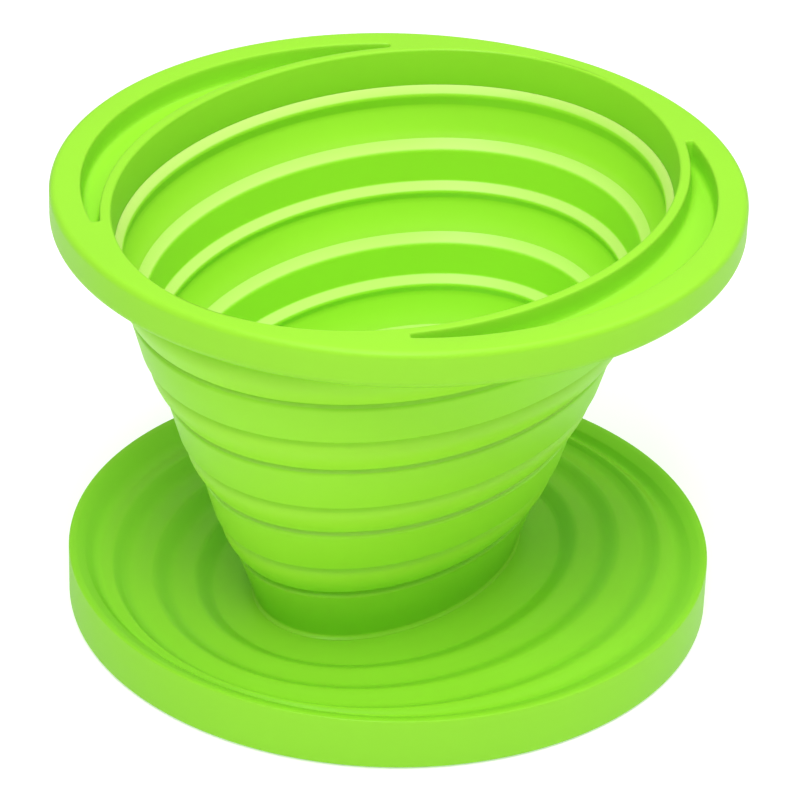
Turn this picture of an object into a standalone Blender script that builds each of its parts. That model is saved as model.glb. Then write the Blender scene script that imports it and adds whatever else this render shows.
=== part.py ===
"""A collapsible silicone funnel: an oval folding cone between a round rim and a round saucer.

Lengths are in metres, +Z is up, and the mouth's long axis lies along X. The origin is the
centre of the saucer's underside. Every ring of the cone is an oval: a circle of the ring's
half-width across Y, drawn out along X by the ring's spread.
"""
import math

import bmesh
import bpy

MM = 0.001

# Overall size
HEIGHT = 82.5 * MM
RIM_RADIUS = 60.0 * MM
SAUCER_RADIUS = 57.7 * MM

# Folding cone: three stiff bands joined by four thin webs, all at one pitch
PITCH_Z = 16.2 * MM
PITCH_B = 6.3 * MM
BAND_COUNT = 3
BAND_TOP = (41.65 * MM, 66.8 * MM)
BAND_BOTTOM = (39.6 * MM, 58.0 * MM)
LEDGE_OUTER = (41.2 * MM, 66.4 * MM)
LEDGE_INNER = (39.3 * MM, 65.45 * MM)
LIP_OUTER = (38.1 * MM, 59.1 * MM)
LIP_INNER = (37.0 * MM, 58.4 * MM)
LIP_FOOT = (37.15 * MM, 57.0 * MM)
WEB_TOP = (38.9 * MM, 57.75 * MM)
WEB_BOTTOM = (42.5 * MM, 67.2 * MM)
WEB_BULGE = 0.6 * MM
WEB_POINTS = 4
CONE_WIDTHS = (44.0 * MM, 41.5 * MM, 23.0 * MM, 20.0 * MM)
CONE_SPREADS = (11.0 * MM, 11.6 * MM, 11.6 * MM, 10.4 * MM)
GAP = 0.3 * MM

# Rim
RIM_THICKNESS = 7.0 * MM
RIM_EDGE = 1.5 * MM
MOUTH_HALF_WIDTH = 45.0 * MM
MOUTH_SPREAD = 11.0 * MM
MOUTH_EDGE = 0.6 * MM
RIB_THICKNESS = 1.9 * MM
POCKET_DEPTH = 4.3 * MM
POCKET_OUTER_RADIUS = 54.6 * MM
POCKET_HALF_ANGLE = math.radians(53.7)
THROAT_BORE = 44.5 * MM
THROAT_LEDGE_OUTER = (44.2 * MM, 76.2 * MM)
THROAT_LEDGE_INNER = (43.1 * MM, 75.5 * MM)

# Neck and saucer
NECK_FOOT = 20.0 * MM
NECK_WALL = 2.0 * MM
SAUCER_HEIGHT = 9.7 * MM
SAUCER_LIP = 1.7 * MM
SAUCER_SKIRT = 2.6 * MM
FLOOR_THICKNESS = 2.0 * MM
TERRACE_EDGES = (55.2 * MM, 47.4 * MM, 38.8 * MM, 31.0 * MM)
TERRACE_LEVELS = (7.9 * MM, 7.4 * MM, 6.8 * MM, 6.2 * MM, 5.8 * MM)
TERRACE_SPREADS = (0.0, 4.9 * MM, 7.7 * MM, 8.5 * MM)
RISER = 1.6 * MM

SEGMENTS = 64
ARC_POINTS = 30


def clear_scene():
    for old in list(bpy.data.objects):
        bpy.data.objects.remove(old, do_unlink=True)


def new_collection(name):
    collection = bpy.data.collections.new(name)
    bpy.context.scene.collection.children.link(collection)
    return collection


def silicone(name, color, roughness):
    material = bpy.data.materials.new(name)
    material.use_nodes = True
    shader = material.node_tree.nodes["Principled BSDF"]
    shader.inputs["Base Color"].default_value = (*color, 1.0)
    shader.inputs["Roughness"].default_value = roughness
    shader.inputs["Metallic"].default_value = 0.0
    return material


def blend_between(x, xs, ys):
    """Straight-line interpolation in a falling list of positions, held at both ends."""
    if x >= xs[0]:
        return ys[0]
    for x0, x1, y0, y1 in zip(xs, xs[1:], ys, ys[1:]):
        if x >= x1:
            return y0 + (y1 - y0) * (x0 - x) / (x0 - x1)
    return ys[-1]


def cone_spread(b):
    return blend_between(b, CONE_WIDTHS, CONE_SPREADS)


def rim_spread(b):
    """The rim runs from a round outer edge to the oval mouth."""
    return blend_between(b, (RIM_RADIUS - 3.0 * MM, MOUTH_HALF_WIDTH), (0.0, MOUTH_SPREAD))


def saucer_spread(b):
    edges = TERRACE_EDGES + (NECK_FOOT,)
    return blend_between(b, edges, TERRACE_SPREADS + (CONE_SPREADS[-1],))


def turned_ring(name, profile, spread, material, collection):
    """A closed (half-width, height) outline turned about Z, with each circle drawn into an oval."""
    mesh = bpy.data.meshes.new(name + "_outline")
    outline = bmesh.new()
    points = [outline.verts.new((b, 0.0, z)) for b, z in profile]
    for start, end in zip(points, points[1:] + points[:1]):
        outline.edges.new((start, end))
    outline.to_mesh(mesh)
    outline.free()
    turned = bpy.data.objects.new(name + "_outline", mesh)
    bpy.context.scene.collection.objects.link(turned)
    screw = turned.modifiers.new("Screw", "SCREW")
    screw.axis = "Z"
    screw.angle = math.tau
    screw.steps = SEGMENTS
    screw.render_steps = SEGMENTS
    screw.use_merge_vertices = True
    screw.merge_threshold = 0.00001
    graph = bpy.context.evaluated_depsgraph_get()
    solid = bpy.data.meshes.new_from_object(turned.evaluated_get(graph))
    bpy.data.objects.remove(turned, do_unlink=True)
    draw = bmesh.new()
    draw.from_mesh(solid)
    bmesh.ops.remove_doubles(draw, verts=draw.verts, dist=0.00001)
    for point in draw.verts:
        b = math.hypot(point.co.x, point.co.y)
        point.co.x *= (b + spread(b)) / b
    bmesh.ops.recalc_face_normals(draw, faces=draw.faces)
    draw.to_mesh(solid)
    draw.free()
    solid.name = name
    solid.materials.clear()
    solid.materials.append(material)
    solid.shade_smooth()
    solid.set_sharp_from_angle(angle=math.radians(30.0))
    ring = bpy.data.objects.new(name, solid)
    collection.objects.link(ring)
    return ring


def step_down(point, periods):
    return (point[0] - periods * PITCH_B, point[1] - periods * PITCH_Z)


def along(start, end, distance):
    """The point at a distance from start towards end."""
    length = math.hypot(end[0] - start[0], end[1] - start[1])
    share = distance / length
    return (start[0] + (end[0] - start[0]) * share, start[1] + (end[1] - start[1]) * share)


def arc(start, end, bulge):
    """Points from start to end on a shallow curve that swells away from the axis."""
    run_b, run_z = end[0] - start[0], end[1] - start[1]
    length = math.hypot(run_b, run_z)
    points = []
    for index in range(WEB_POINTS + 1):
        share = index / WEB_POINTS
        swell = 4.0 * bulge * share * (1.0 - share)
        b = start[0] + run_b * share + swell * abs(run_z) / length
        z = start[1] + run_z * share - swell * abs(run_b) / length
        points.append((b, z))
    return points


def make_bands(names, material, collection):
    """Stiff rings, each with a ledge inside its top and a lip inside its foot."""
    corners = (BAND_TOP, BAND_BOTTOM, LIP_FOOT, LIP_INNER, LIP_OUTER, LEDGE_INNER, LEDGE_OUTER)
    for index, name in enumerate(names):
        profile = [step_down(corner, index) for corner in corners]
        turned_ring(name, profile, cone_spread, material, collection)


def make_webs(names, material, collection):
    """Each web joins the bottom of one band to the top of the next, clear of both by the gap."""
    for index, name in enumerate(names):
        outer_top = step_down(WEB_TOP, index - 1)
        outer_bottom = step_down(WEB_BOTTOM, index)
        inner_top = step_down(LIP_FOOT, index - 1)
        inner_bottom = step_down(LEDGE_OUTER, index)
        outer = arc(
            along(outer_top, outer_bottom, GAP),
            along(outer_bottom, outer_top, GAP),
            WEB_BULGE,
        )
        inner = arc(
            along(inner_top, inner_bottom, GAP),
            along(inner_bottom, inner_top, 2.0 * GAP),
            WEB_BULGE,
        )
        turned_ring(name, outer + inner[::-1], cone_spread, material, collection)


def make_rim(material, collection, cutters):
    floor = HEIGHT - RIM_THICKNESS
    round_steps = 4
    profile = [(MOUTH_HALF_WIDTH + MOUTH_EDGE, HEIGHT)]
    profile.append((POCKET_OUTER_RADIUS - RIB_THICKNESS, HEIGHT))
    corner = RIM_RADIUS - RIM_EDGE
    for centre, first in ((HEIGHT - RIM_EDGE, math.pi / 2), (floor + RIM_EDGE, 0.0)):
        for step in range(round_steps + 1):
            angle = first - step * math.pi / 2 / round_steps
            profile.append((corner + RIM_EDGE * math.cos(angle), centre + RIM_EDGE * math.sin(angle)))
    profile.append((THROAT_BORE, floor))
    profile.append((MOUTH_HALF_WIDTH, HEIGHT - MOUTH_EDGE))
    rim = turned_ring("rim_flange", profile, rim_spread, material, collection)
    for side, name in ((1.0, "pocket_cutter_front"), (-1.0, "pocket_cutter_back")):
        cutter = pocket_cutter(name, side, cutters)
        cut = rim.modifiers.new(name, "BOOLEAN")
        cut.operation = "DIFFERENCE"
        cut.solver = "EXACT"
        cut.object = cutter
    return rim


def pocket_cutter(name, side, cutters):
    """A crescent between a round outer wall and the oval rib round the mouth."""
    rib_b = MOUTH_HALF_WIDTH + RIB_THICKNESS
    rib_a = rib_b + MOUTH_SPREAD
    outer = []
    inner = []
    for index in range(ARC_POINTS + 1):
        angle = math.pi / 2 + POCKET_HALF_ANGLE * (1.0 - 2.0 * index / ARC_POINTS)
        cos, sin = math.cos(angle), math.sin(angle)
        rib = 1.0 / math.hypot(cos / rib_a, sin / rib_b)
        outer.append((POCKET_OUTER_RADIUS * cos, side * POCKET_OUTER_RADIUS * sin))
        inner.append((rib * cos, side * rib * sin))
    points = outer + inner[::-1]
    curve = bpy.data.curves.new(name, "CURVE")
    curve.dimensions = "2D"
    curve.fill_mode = "BOTH"
    curve.extrude = POCKET_DEPTH
    spline = curve.splines.new("POLY")
    spline.points.add(len(points) - 1)
    spline.use_cyclic_u = True
    for target, (x, y) in zip(spline.points, points):
        target.co = (x, y, 0.0, 1.0)
    drawn = bpy.data.objects.new(name + "_outline", curve)
    bpy.context.scene.collection.objects.link(drawn)
    graph = bpy.context.evaluated_depsgraph_get()
    mesh = bpy.data.meshes.new_from_object(drawn.evaluated_get(graph))
    bpy.data.objects.remove(drawn, do_unlink=True)
    solid = bmesh.new()
    solid.from_mesh(mesh)
    bmesh.ops.remove_doubles(solid, verts=solid.verts, dist=0.000001)
    bmesh.ops.recalc_face_normals(solid, faces=solid.faces)
    solid.to_mesh(mesh)
    solid.free()
    cutter = bpy.data.objects.new(name, mesh)
    cutter.location = (0.0, 0.0, HEIGHT)
    cutter.hide_render = True
    cutter.display_type = "WIRE"
    cutters.objects.link(cutter)
    return cutter


def make_collar(material, collection):
    """The short hoop under and inside the rim: the throat's ledge, and the root of the first web."""
    shoulder = HEIGHT - RIM_THICKNESS - GAP
    foot = step_down(BAND_BOTTOM, -1)
    profile = [
        THROAT_LEDGE_OUTER,
        (THROAT_LEDGE_OUTER[0], shoulder),
        (foot[0], shoulder),
        foot,
        step_down(LIP_FOOT, -1),
        THROAT_LEDGE_INNER,
    ]
    turned_ring("throat_collar", profile, cone_spread, material, collection)


def make_neck(material, collection):
    foot = TERRACE_LEVELS[-1] + GAP
    profile = [
        step_down(BAND_TOP, BAND_COUNT),
        (NECK_FOOT, foot),
        (NECK_FOOT - NECK_WALL, foot),
        step_down(LEDGE_INNER, BAND_COUNT),
        step_down(LEDGE_OUTER, BAND_COUNT),
    ]
    turned_ring("neck_collar", profile, cone_spread, material, collection)


def make_saucer(material, collection):
    """A round dish whose floor steps down towards the neck in soft terraces."""
    lip = SAUCER_RADIUS - SAUCER_LIP
    floor = []
    for edge, high, low in zip(TERRACE_EDGES, TERRACE_LEVELS, TERRACE_LEVELS[1:]):
        floor.append((edge, high))
        floor.append((edge - RISER, low))
    mouth = NECK_FOOT - NECK_WALL
    skirt = SAUCER_RADIUS - SAUCER_SKIRT
    underside = [(skirt - 1.2 * MM, TERRACE_LEVELS[0] - FLOOR_THICKNESS)]
    underside += [(b, z - FLOOR_THICKNESS) for b, z in floor[1:]]
    profile = [
        (SAUCER_RADIUS - 0.5 * MM, SAUCER_HEIGHT),
        (SAUCER_RADIUS, SAUCER_HEIGHT - 0.5 * MM),
        (SAUCER_RADIUS, 0.5 * MM),
        (SAUCER_RADIUS - 0.5 * MM, 0.0),
        (skirt, 0.0),
    ]
    profile += underside
    profile.append((mouth, TERRACE_LEVELS[-1] - FLOOR_THICKNESS))
    profile.append((mouth, TERRACE_LEVELS[-1]))
    profile += floor[::-1]
    profile.append((lip, TERRACE_LEVELS[0] + 0.4 * MM))
    profile.append((lip, SAUCER_HEIGHT - 0.4 * MM))
    profile.append((lip + 0.4 * MM, SAUCER_HEIGHT))
    turned_ring("saucer_base", profile, saucer_spread, material, collection)


def main():
    clear_scene()
    parts = new_collection("collapsible_funnel")
    cutters = new_collection("cutters")
    body_green = silicone("silicone_body_green", (0.31, 0.84, 0.05), 0.45)
    web_green = silicone("silicone_web_green", (0.40, 0.88, 0.10), 0.42)
    deep_green = silicone("silicone_deep_green", (0.22, 0.70, 0.03), 0.45)
    make_rim(body_green, parts, cutters)
    make_collar(body_green, parts)
    make_webs(("fold_web_1", "fold_web_2", "fold_web_3", "fold_web_4"), web_green, parts)
    make_bands(("upper_band", "middle_band", "lower_band"), body_green, parts)
    make_neck(deep_green, parts)
    make_saucer(deep_green, parts)


main()
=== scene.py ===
import math

import bmesh
import bpy
import numpy as np
from mathutils import Matrix, Vector


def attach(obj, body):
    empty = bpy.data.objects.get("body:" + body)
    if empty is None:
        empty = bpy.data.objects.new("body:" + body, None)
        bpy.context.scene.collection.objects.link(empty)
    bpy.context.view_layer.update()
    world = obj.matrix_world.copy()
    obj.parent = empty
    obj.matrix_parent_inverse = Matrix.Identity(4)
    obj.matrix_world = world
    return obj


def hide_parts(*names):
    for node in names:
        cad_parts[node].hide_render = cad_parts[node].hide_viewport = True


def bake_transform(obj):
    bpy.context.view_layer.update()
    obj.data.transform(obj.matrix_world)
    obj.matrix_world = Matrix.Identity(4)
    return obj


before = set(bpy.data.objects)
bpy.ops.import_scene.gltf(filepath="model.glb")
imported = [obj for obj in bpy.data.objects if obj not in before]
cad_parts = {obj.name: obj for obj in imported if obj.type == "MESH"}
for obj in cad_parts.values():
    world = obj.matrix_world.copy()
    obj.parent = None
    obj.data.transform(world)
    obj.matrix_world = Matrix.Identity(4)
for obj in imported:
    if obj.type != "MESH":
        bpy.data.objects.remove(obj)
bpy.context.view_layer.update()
MM = 0.001

# The funnel's own measures, in millimetres
HEIGHT = 82.5
RIM_RADIUS = 60.0
RIM_FLOOR = 75.5
RIM_EDGE, RIM_UNDER_EDGE = 2.2, 3.0
SPREAD = 11.0
PITCH_B, PITCH_Z = 6.3, 16.2
MOUTH_B = 45.0
RIB = 1.9
RIB_SLANT = 0.985
POCKET_RADIUS = 54.6
POCKET_DEPTH = 4.3
POCKET_HALF_ANGLE = math.radians(53.7)
POCKET_CORNER = 0.5
POCKET_CORNER_EASE = 0.45
SAUCER_RADIUS = 57.7
SAUCER_HEIGHT = 9.7

# How finely the rings are drawn
AROUND = 288
RIM_AROUND = 300
SHARP_ANGLE = math.radians(38.0)


def shifted(point, periods):
    """A profile point moved down the cone by whole periods of its fold."""
    return (point[0] - PITCH_B * periods, point[1] - PITCH_Z * periods) + tuple(point[2:])


def filleted(corners, closed=True, step=0.12):
    """A dense outline from (b, z, radius) corners, with each corner rounded to its radius."""
    count = len(corners)
    points = []
    for index, corner in enumerate(corners):
        here = np.array(corner[:2], float)
        radius = corner[2] if len(corner) > 2 else 0.0
        if radius <= 0.0 or (not closed and index in (0, count - 1)):
            points.append(tuple(here))
            continue
        before = np.array(corners[index - 1][:2], float) - here
        after = np.array(corners[(index + 1) % count][:2], float) - here
        len_before, len_after = np.linalg.norm(before), np.linalg.norm(after)
        u, v = before / len_before, after / len_after
        turn = math.acos(max(-1.0, min(1.0, float(u @ v))))
        if turn > math.pi - 0.02:
            points.append(tuple(here))
            continue
        reach = min(radius / math.tan(turn / 2), 0.48 * len_before, 0.48 * len_after)
        rounding = reach * math.tan(turn / 2)
        bisector = (u + v) / np.linalg.norm(u + v)
        centre = here + bisector * math.hypot(reach, rounding)
        first, last = here + u * reach - centre, here + v * reach - centre
        start = math.atan2(first[1], first[0])
        sweep = (math.atan2(last[1], last[0]) - start + math.pi) % math.tau - math.pi
        pieces = max(3, int(abs(sweep) * rounding / step) + 2, int(abs(sweep) / 0.3) + 1)
        for k in range(pieces + 1):
            angle = start + sweep * k / pieces
            points.append(tuple(centre + rounding * np.array((math.cos(angle), math.sin(angle)))))
    return points


def swelling(start, end, bulge, count=9, lean=1.0):
    """Points from start to end on a shallow curve that swells away from the axis."""
    run = np.array(end[:2], float) - np.array(start[:2], float)
    length = np.linalg.norm(run)
    outward = np.array((abs(run[1]), -abs(run[0]))) / length
    points = []
    for k in range(count + 1):
        share = k / count
        swell = 4.0 * bulge * (share ** lean) * (1.0 - share ** lean)
        points.append(tuple(np.array(start[:2], float) + run * share + outward * swell))
    return points


def mesh_object(name, verts, faces):
    mesh = bpy.data.meshes.new(name)
    mesh.from_pydata([tuple(v) for v in verts], [], faces)
    draw = bmesh.new()
    draw.from_mesh(mesh)
    bmesh.ops.remove_doubles(draw, verts=draw.verts, dist=1e-7)
    bmesh.ops.recalc_face_normals(draw, faces=draw.faces)
    draw.to_mesh(mesh)
    draw.free()
    mesh.shade_smooth()
    mesh.set_sharp_from_angle(angle=SHARP_ANGLE)
    piece = bpy.data.objects.new(name, mesh)
    bpy.context.scene.collection.objects.link(piece)
    return piece


def ring_faces(around, along):
    faces = []
    for i in range(around):
        for k in range(along):
            i1, k1 = (i + 1) % around, (k + 1) % along
            faces.append((i * along + k, i * along + k1, i1 * along + k1, i1 * along + k))
    return faces


def cone_spread(b):
    """How much longer than wide the cone's ovals are, by half-width."""
    return float(np.interp(b, (20.0, 23.0, 41.5, 44.0), (10.4, 11.6, 11.6, SPREAD)))


def oval_ring(name, outline, spread=cone_spread):
    """A closed outline of (half-width, height), turned into a ring with oval circles."""
    b = np.array([p[0] for p in outline])
    z = np.array([p[1] for p in outline])
    a = b + np.array([spread(x) for x in b])
    verts = []
    for i in range(AROUND):
        t = math.tau * i / AROUND
        ring = np.stack([a * math.cos(t), b * math.sin(t), z], 1) * MM
        verts.extend(map(tuple, ring))
    return mesh_object(name, verts, ring_faces(AROUND, len(outline)))


# Corners of the first period of the cone
WEB_TOP = (38.45, 57.75)
WEB_EDGE = (42.55, 67.25, 0.5)
BAND_TOP = (41.4, 66.85)
BAND_GROOVE = (41.4, 66.6, 0.2)
BAND_SHOULDER = (42.05, 65.8, 0.9)
BAND_FOOT = (39.85, 58.15, 0.45)
LEDGE_OUTER = (40.9, 66.2)
LEDGE_INNER = (39.1, 64.55, 1.2)
LIP_OUTER = (38.3, 58.75, 0.7)
LIP_INNER = (36.55, 57.2, 0.9)
SEAM_ABOVE = (36.85, 56.2)
SEAM = (36.9, 55.9)
SEAM_BELOW = (36.92, 55.6)
FOOT_LIFT = (0.0, 0.35, -0.25, -0.2)
FOOT_SLOPE = 0.36
WEB_OUTER_SWELL, WEB_OUTER_LEAN = 0.95, 0.8
WEB_INNER_SWELL = 0.12


def lifted(point, amount):
    """A profile point moved up along the cone's slope."""
    return (point[0] + FOOT_SLOPE * amount, point[1] + amount) + tuple(point[2:])


def web_outline(index):
    """Web number index + 1, from the foot of the ring above to the ledge of the ring below."""
    above = index - 1
    lift = FOOT_LIFT[index]
    outer_top = lifted(shifted(WEB_TOP, above), lift)
    edge = shifted(WEB_EDGE, index)
    outer = swelling(outer_top, edge, WEB_OUTER_SWELL, lean=WEB_OUTER_LEAN)
    shelf = filleted([outer[-2], edge, shifted(BAND_TOP, index)], closed=False)
    ledge = shifted(LEDGE_OUTER, index)
    inner_top = shifted(SEAM_BELOW, above)
    inner = swelling(inner_top, ledge, WEB_INNER_SWELL)[::-1]
    return outer[:-2] + shelf + inner + [shifted(SEAM, above)]


def band_outline(index):
    """Band number index + 1, with its ledge and its rounded lip inside."""
    lift = FOOT_LIFT[index + 1]
    return filleted([
        shifted(BAND_TOP, index),
        shifted(BAND_GROOVE, index),
        shifted(BAND_SHOULDER, index),
        lifted(shifted(BAND_FOOT, index), lift),
        lifted(shifted(WEB_TOP, index), lift),
        shifted(SEAM, index),
        shifted(SEAM_ABOVE, index),
        shifted(LIP_INNER, index),
        shifted(LIP_OUTER, index),
        shifted(LEDGE_INNER, index),
        shifted(LEDGE_OUTER, index),
    ])


def collar_outline():
    """The hoop at the root of the cone, with the throat ledge inside."""
    lift = FOOT_LIFT[0]
    return filleted([
        (45.9, 75.48),
        (45.9, 75.2),
        lifted(shifted(BAND_FOOT, -1), lift),
        lifted(shifted(WEB_TOP, -1), lift),
        shifted(SEAM, -1),
        shifted(SEAM_ABOVE, -1),
        (42.75, 74.1, 0.9),
        (44.42, 75.6, 0.1),
        (44.43, 75.48),
    ])


# The saucer's floor, from its raised lip in to the neck: a slope, then three soft steps
FLOOR = (
    (56.3, 9.55), (55.2, 9.0), (54.0, 8.3), (52.9, 7.7), (51.9, 7.4), (50.9, 7.4), (49.4, 7.8),
    (48.3, 7.9), (47.2, 7.5), (46.2, 7.0), (45.2, 6.6), (44.2, 6.45), (42.6, 6.7), (40.3, 7.3),
    (39.3, 7.2), (38.4, 6.85), (37.5, 6.4), (36.6, 6.0), (35.7, 5.85), (34.4, 6.05), (32.4, 6.6),
    (31.5, 6.6), (30.6, 6.25), (29.7, 5.8), (28.8, 5.4), (27.9, 5.25), (25.5, 5.6), (22.8, 5.98),
)
FLOOR_THICKNESS = 2.0
NECK_FOOT_B = 20.0


def saucer_spread(b):
    """The saucer's circles are round at its lip and oval at the neck."""
    edges = (NECK_FOOT_B, 29.8, 37.6, 46.3, 54.7)
    return float(np.interp(b, edges, (10.4, 8.5, 7.9, 5.4, 0.0)))


def smooth_run(points, per=5):
    """A Catmull-Rom curve through profile points."""
    pts = [np.array(p, float) for p in points]
    pts = [2 * pts[0] - pts[1]] + pts + [2 * pts[-1] - pts[-2]]
    run = []
    for p0, p1, p2, p3 in zip(pts, pts[1:], pts[2:], pts[3:]):
        for k in range(per):
            t = k / per
            run.append(tuple(0.5 * (2 * p1 + (p2 - p0) * t + (2 * p0 - 5 * p1 + 4 * p2 - p3) * t * t
                                    + (3 * p1 - p0 - 3 * p2 + p3) * t ** 3)))
    run.append(tuple(pts[-2]))
    return run


def neck_outline():
    """The fixed neck: the top of a fourth band, run straight down to the saucer."""
    last = 3
    return filleted([
        shifted(BAND_TOP, last),
        shifted(BAND_GROOVE, last),
        shifted(BAND_SHOULDER, last),
        (NECK_FOOT_B + 0.1, 6.7, 0.8),
        (NECK_FOOT_B + 0.5, 6.1),
        (NECK_FOOT_B + 0.3, 5.95),
        (17.98, 5.95),
        (18.03, 8.4),
        shifted(LEDGE_INNER, last),
        shifted(LEDGE_OUTER, last),
    ])


def saucer_outline():
    """The saucer's lip, skirt, hollow underside and stepped floor, as one closed outline."""
    rim = filleted([
        (56.6, 9.64), (57.0, SAUCER_HEIGHT, 0.5), (SAUCER_RADIUS, SAUCER_HEIGHT, 0.45),
        (SAUCER_RADIUS, 4.0), (SAUCER_RADIUS, 0.0, 0.6), (55.1, 0.0, 0.3), (54.8, 4.9, 1.0),
        (52.6, 5.3),
    ], closed=False)
    under = smooth_run([(b, z - FLOOR_THICKNESS) for b, z in FLOOR[4:]], per=3)
    foot = filleted([
        (21.5, 4.15), (17.95, 4.15, 0.5), (17.96, 6.03), (NECK_FOOT_B + 0.5, 6.06),
        (NECK_FOOT_B + 1.4, 6.06), (22.0, 6.05),
    ], closed=False)
    floor = smooth_run(FLOOR[::-1])
    return rim + under + foot + floor


def oval_radius(b, angle):
    """Distance from the axis to an oval of half-width b, along a direction."""
    return 1.0 / np.hypot(np.cos(angle) / (b + SPREAD), np.sin(angle) / b)


# How far a pocket's wall has fallen, by the distance inside its edge
WALL_STEPS = (-0.42, -0.2, -0.08, 0.0, 0.06, 0.22, 0.34, 0.5, 0.75, 1.1)
WALL_DROPS = (0.0, 0.05, 0.16, 0.42, 0.9, 3.3, 3.75, 4.0, 4.2, POCKET_DEPTH)


def pocket_drop(rho, angle):
    """How far the rim's flat top falls at a point, inside the two crescent pockets."""
    away = abs((angle % math.pi) - math.pi / 2)
    to_end = (POCKET_HALF_ANGLE - away) * POCKET_RADIUS
    to_outer = POCKET_RADIUS - rho
    to_rib = (rho - oval_radius(MOUTH_B + RIB, angle)) * RIB_SLANT
    walls = (to_end, to_outer, to_rib)
    low = min(walls)
    nearness = sum(math.exp(-(wall - low) / POCKET_CORNER) for wall in walls)
    inside = low - POCKET_CORNER * math.log(nearness) * POCKET_CORNER_EASE
    return float(np.interp(inside, WALL_STEPS, WALL_DROPS))


# Directions added at each end of a pocket, in degrees, and the room they take in radians
END_TURNS = np.arange(-1.5, 1.51, 0.12)
END_ROOM = 0.012


def rim_angles():
    """Directions round the rim, closer together at the pockets' ends."""
    fine = []
    for centre in (math.pi / 2, -math.pi / 2):
        for end in (-POCKET_HALF_ANGLE, POCKET_HALF_ANGLE):
            fine += [centre + end + math.radians(turn) for turn in END_TURNS]
    coarse = [math.tau * i / RIM_AROUND for i in range(RIM_AROUND)]
    fine = np.array([f % math.tau for f in fine])
    kept = [c for c in coarse if np.abs((fine - c + math.pi) % math.tau - math.pi).min() > END_ROOM]
    return sorted(list(fine) + kept)


# The rim's top: points kept close together at each pocket wall, and even beyond a pocket's end
WALL_OFFSETS = np.array((-0.45, -0.2, -0.08, 0.0, 0.06, 0.14, 0.22, 0.34, 0.5, 0.56))
BEYOND_SQUEEZE = 0.35
BEYOND_TURN = 7.0
BEYOND_SHARES = (0.36, 0.72)
LEAST_POCKET = 1.15
MIDDLE_STEPS = 8
# The bore, from the rim's underside up to its rounded edge, as (half-width, height, radius)
BORE = ((44.7, RIM_FLOOR), (44.45, RIM_FLOOR, 0.1), (44.5, 78.5), (MOUTH_B, HEIGHT, 0.55),
        (MOUTH_B + 1.0, HEIGHT))


def rim_loop(angle):
    """The rim's cross-section along one direction, as a closed list of (distance, height)."""
    edge = RIM_RADIUS - RIM_EDGE
    mouth = float(oval_radius(MOUTH_B, angle))
    away = abs((angle % math.pi) - math.pi / 2)
    share = min(1.0, max(0.0, math.degrees(away - POCKET_HALF_ANGLE) / BEYOND_TURN))
    share = share * share * (3 - 2 * share)
    room = edge - mouth
    rib = float(oval_radius(MOUTH_B + RIB, angle))
    even_in, even_out = (mouth + part * room for part in BEYOND_SHARES)
    wall_in = (1 - share) * min(rib, POCKET_RADIUS - LEAST_POCKET) + share * even_in
    wall_out = (1 - share) * POCKET_RADIUS + share * even_out
    offsets = WALL_OFFSETS * ((1 - share) + share * BEYOND_SQUEEZE)
    top = [mouth + 0.9 * min(1.0, room / 4.0)]
    top += list(wall_in + offsets)
    middle_low, middle_high = top[-1], wall_out - offsets[-1]
    width = middle_high - middle_low
    top += [middle_low + width * k / MIDDLE_STEPS for k in range(1, MIDDLE_STEPS)]
    top += list((wall_out - offsets)[::-1])
    loop = [(rho, HEIGHT - pocket_drop(rho, angle)) for rho in top]
    outside = filleted([
        (edge - 0.4, HEIGHT), (RIM_RADIUS, HEIGHT, RIM_EDGE), (RIM_RADIUS, RIM_FLOOR + 3.6),
        (RIM_RADIUS, RIM_FLOOR, RIM_UNDER_EDGE), (edge - 1.6, RIM_FLOOR),
    ], closed=False)[1:]
    loop += outside
    for b, z in filleted(BORE, closed=False)[:-1]:
        loop.append((float(oval_radius(b, angle)), z))
    return loop


def make_rim():
    angles = rim_angles()
    verts = []
    for angle in angles:
        loop = rim_loop(angle)
        verts += [(r * math.cos(angle) * MM, r * math.sin(angle) * MM, z * MM) for r, z in loop]
    return mesh_object("rim_moulding", verts, ring_faces(len(angles), len(loop)))


# A painted highlight: a paler colour laid on the silicone wherever a face turns up, as on a ledge or
# a lip
PAINTED_HIGHLIGHT_TINT = (0.86, 0.90, 0.36, 1.0)


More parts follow.
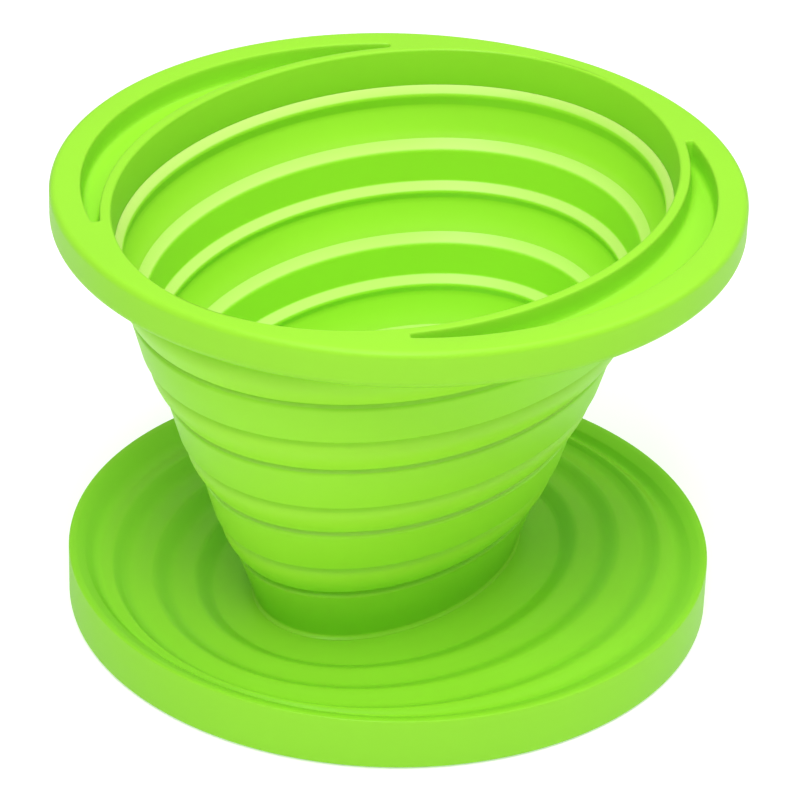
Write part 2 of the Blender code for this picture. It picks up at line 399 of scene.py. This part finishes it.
def silicone(name, tint, seed, painted_highlight=0.0):
    """Satin moulded silicone that lets a little light through: soft colour drift, fine matte skin,
    and a painted highlight on faces turned up.
    """
    material = bpy.data.materials.new(name)
    material.use_nodes = True
    tree = material.node_tree
    tree.nodes.clear()
    new, link = tree.nodes.new, tree.links.new
    out = new("ShaderNodeOutputMaterial")
    shader = new("ShaderNodeBsdfPrincipled")
    shader.inputs["Metallic"].default_value = 0.0
    shader.inputs["IOR"].default_value = 1.41
    shader.inputs["Specular IOR Level"].default_value = 0.32
    place = new("ShaderNodeTexCoord")
    drift = new("ShaderNodeTexNoise")
    drift.inputs["Scale"].default_value = 26.0
    drift.inputs["Detail"].default_value = 3.0
    moved = new("ShaderNodeMapping")
    moved.inputs["Location"].default_value = (seed, seed * 0.7, seed * 1.3)
    link(place.outputs["Object"], moved.inputs["Vector"])
    link(moved.outputs["Vector"], drift.inputs["Vector"])
    colour = new("ShaderNodeMix")
    colour.data_type = "RGBA"
    low = tuple(c * 0.965 for c in tint)
    colour.inputs["A"].default_value = (*low, 1.0)
    colour.inputs["B"].default_value = (*[min(1.0, c * 1.03) for c in tint], 1.0)
    link(drift.outputs["Fac"], colour.inputs["Factor"])
    # Painted highlight: faces are blended toward the pale tint by how far they turn up
    facing = new("ShaderNodeSeparateXYZ")
    link(place.outputs["Normal"], facing.inputs["Vector"])
    upward = new("ShaderNodeMapRange")
    upward.interpolation_type = "SMOOTHSTEP"
    upward.inputs["From Min"].default_value = 0.34
    upward.inputs["From Max"].default_value = 0.95
    upward.inputs["To Max"].default_value = painted_highlight
    link(facing.outputs["Z"], upward.inputs["Value"])
    highlit_colour = new("ShaderNodeMix")
    highlit_colour.data_type = "RGBA"
    highlit_colour.inputs["B"].default_value = PAINTED_HIGHLIGHT_TINT
    link(upward.outputs["Result"], highlit_colour.inputs["Factor"])
    link(colour.outputs["Result"], highlit_colour.inputs["A"])
    link(highlit_colour.outputs["Result"], shader.inputs["Base Color"])
    skin = new("ShaderNodeTexNoise")
    skin.inputs["Scale"].default_value = 2600.0
    skin.inputs["Detail"].default_value = 2.0
    link(moved.outputs["Vector"], skin.inputs["Vector"])
    rough = new("ShaderNodeMapRange")
    rough.inputs["From Min"].default_value = 0.3
    rough.inputs["From Max"].default_value = 0.7
    rough.inputs["To Min"].default_value = 0.36
    rough.inputs["To Max"].default_value = 0.46
    link(drift.outputs["Fac"], rough.inputs["Value"])
    link(rough.outputs["Result"], shader.inputs["Roughness"])
    bump = new("ShaderNodeBump")
    bump.inputs["Strength"].default_value = 0.10
    bump.inputs["Distance"].default_value = 0.00008
    link(skin.outputs["Fac"], bump.inputs["Height"])
    link(bump.outputs["Normal"], shader.inputs["Normal"])
    through = new("ShaderNodeBsdfTranslucent")
    link(highlit_colour.outputs["Result"], through.inputs["Color"])
    both = new("ShaderNodeMixShader")
    both.inputs["Fac"].default_value = 0.2
    link(shader.outputs["BSDF"], both.inputs[1])
    link(through.outputs["BSDF"], both.inputs[2])
    link(both.outputs["Shader"], out.inputs["Surface"])
    return material


def dress(piece, material):
    """A piece given its material."""
    piece.data.materials.clear()
    piece.data.materials.append(material)
    return piece


def build_funnel():
    # One silicone in lit and shaded copies: the webs' paler tint is a painted glow of light through
    # their thin walls, and the base's darker tint is painted shade under the cone
    green = silicone("funnel_silicone", (0.345, 0.78, 0.035), 0.0)
    web_glow_silicone = silicone("funnel_silicone_web_painted_glow", (0.40, 0.86, 0.04), 0.31, painted_highlight=0.68)
    shaded_base_silicone = silicone("funnel_silicone_base_painted_shade", (0.33, 0.78, 0.035), 0.63)
    folded = silicone("funnel_silicone_fold", (0.37, 0.84, 0.035), 0.17, painted_highlight=0.68)
    rim = dress(make_rim(), green)
    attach(rim, "rim")
    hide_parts("rim_flange")
    collar = dress(oval_ring("throat_collar_moulding", collar_outline()), folded)
    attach(collar, "rim")
    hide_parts("throat_collar")
    for index in range(4):
        web = dress(oval_ring(f"fold_web_{index + 1}_moulding", web_outline(index)), web_glow_silicone)
        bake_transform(web)
        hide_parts(f"fold_web_{index + 1}")
    for index, name in enumerate(("upper", "middle", "lower")):
        band = dress(oval_ring(f"{name}_band_moulding", band_outline(index)), folded)
        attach(band, f"{name}_fold")
        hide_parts(f"{name}_band")
    neck = dress(oval_ring("neck_moulding", neck_outline()), shaded_base_silicone)
    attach(neck, "base")
    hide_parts("neck_collar")
    saucer = dress(oval_ring("saucer_moulding", saucer_outline(), saucer_spread), shaded_base_silicone)
    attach(saucer, "base")
    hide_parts("saucer_base")


def build_stage():
    bpy.ops.mesh.primitive_plane_add(size=6.0, location=(0, 0, -0.0002))
    floor = bpy.context.object
    floor.name = "studio_floor"
    paper = bpy.data.materials.new("white_paper")
    paper.use_nodes = True
    shader = paper.node_tree.nodes["Principled BSDF"]
    shader.inputs["Base Color"].default_value = (0.72, 0.72, 0.72, 1.0)
    shader.inputs["Roughness"].default_value = 0.9
    shader.inputs["Emission Color"].default_value = (1.0, 1.0, 1.0, 1.0)
    shader.inputs["Emission Strength"].default_value = 0.4
    floor.data.materials.append(paper)


def area_light(name, place, target, size, power):
    data = bpy.data.lights.new(name, "AREA")
    data.shape = "DISK"
    data.size = size
    data.energy = power
    light = bpy.data.objects.new(name, data)
    light.location = place
    aim = Vector(target) - Vector(place)
    light.rotation_euler = aim.to_track_quat("-Z", "Y").to_euler()
    bpy.context.scene.collection.objects.link(light)


# The view: elevation, distance, roll and the turn between the view and the mouth's long axis
VIEW_TURN = math.radians(56.5)
VIEW_ELEVATION = math.radians(30.487)
VIEW_ROLL = math.radians(1.844)
VIEW_DISTANCE = 692.76
VIEW_OFFSET = (1.26, -1.177)
VIEW_TARGET = Vector((0.0, 0.0, 40.0))
SENSOR_WIDTH = 36.0
FOCAL_LENGTH = 175.97565


def build_camera():
    turn = Matrix.Rotation(-VIEW_TURN, 3, "Z")
    forward = Vector((0.0, math.cos(VIEW_ELEVATION), -math.sin(VIEW_ELEVATION)))
    right = Vector((1.0, 0.0, 0.0))
    up = right.cross(forward)
    c, s = math.cos(VIEW_ROLL), math.sin(VIEW_ROLL)
    right, up = right * c + up * s, up * c - right * s
    place = VIEW_TARGET - forward * VIEW_DISTANCE + right * VIEW_OFFSET[0] + up * VIEW_OFFSET[1]
    axes = Matrix((turn @ right, turn @ up, -(turn @ forward))).transposed()
    data = bpy.data.cameras.new("camera")
    data.lens = FOCAL_LENGTH
    data.sensor_width = SENSOR_WIDTH
    data.clip_start, data.clip_end = 0.01, 20.0
    camera = bpy.data.objects.new("camera", data)
    camera.matrix_world = Matrix.Translation((turn @ place) * MM) @ axes.to_4x4()
    bpy.context.scene.collection.objects.link(camera)
    bpy.context.scene.camera = camera


LIGHT_TARGET = (0.0, 0.0, 0.04)
# Each softbox: name, azimuth and elevation in degrees, distance and size in metres, power in watts
SOFTBOXES = (
    ("overhead_softbox", 0, 88, 0.9, 0.8, 4.3),
    ("front_softbox", -8, 58, 1.1, 0.5, 6.6),
    ("side_softbox", 100, 50, 1.1, 0.6, 2.2),
)


def towards(azimuth, elevation, distance):
    """A place round the funnel, by its angle from the viewer's side."""
    spin = -VIEW_TURN - math.pi / 2 + math.radians(azimuth)
    flat = math.cos(math.radians(elevation)) * distance
    rise = LIGHT_TARGET[2] + math.sin(math.radians(elevation)) * distance
    return (flat * math.cos(spin), flat * math.sin(spin), rise)


def build_lights():
    world = bpy.data.worlds.new("studio")
    world.use_nodes = True
    backdrop = world.node_tree.nodes["Background"]
    backdrop.inputs["Color"].default_value = (1.0, 1.0, 1.0, 1.0)
    backdrop.inputs["Strength"].default_value = 0.42
    bpy.context.scene.world = world
    for name, azimuth, elevation, distance, size, power in SOFTBOXES:
        area_light(name, towards(azimuth, elevation, distance), LIGHT_TARGET, size, power)


build_funnel()
build_stage()
build_camera()
build_lights()
bpy.context.scene.view_settings.view_transform = "Standard"
